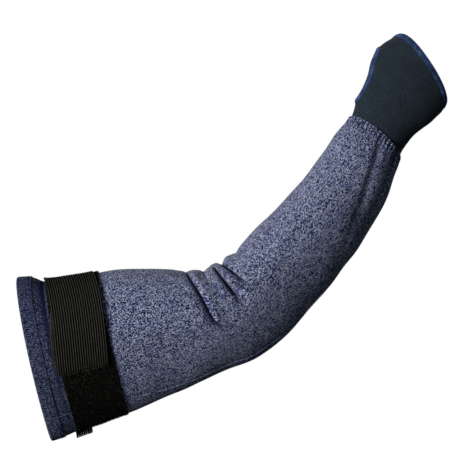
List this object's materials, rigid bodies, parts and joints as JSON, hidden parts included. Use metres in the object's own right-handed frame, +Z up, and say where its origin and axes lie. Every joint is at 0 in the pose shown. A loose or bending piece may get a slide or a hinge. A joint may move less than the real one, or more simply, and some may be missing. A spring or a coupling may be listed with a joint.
{
  "type": "cut resistant sleeve",
  "caption": "Knitted forearm and elbow guard in its worn, bent form, with a fastening strap round the upper arm and a stretch hand cuff with a thumb hole.",
  "frame": {"origin": "middle of the ring that the fastening strap makes round the upper arm, where the sleeve is held on the arm", "axes": "+Z up, +X from the upper arm towards the hand, -Y out of the side that shows the back of the hand"},
  "size_m": [0.4156, 0.1003, 0.3939],
  "materials": {
    "heather_knit": "blue and white marled plain knit, matt",
    "stretch_jersey": "fine dark navy stretch jersey, matt",
    "overlock_thread": "mid blue overlocked thread with a slight sheen",
    "elastic_webbing": "black ribbed elastic webbing",
    "loop_pile": "black brushed loop pile",
    "hook_nylon": "black woven tape with stiff nylon hooks"
  },
  "bodies": {
    "root": {"knit_sleeve": "heather_knit", "hand_cuff": "stretch_jersey", "finger_binding": "overlock_thread", "thumb_binding": "overlock_thread", "strap_webbing": "elastic_webbing", "loop_patch": "loop_pile", "hook_tape": "hook_nylon"}
  },
  "joints": []
}
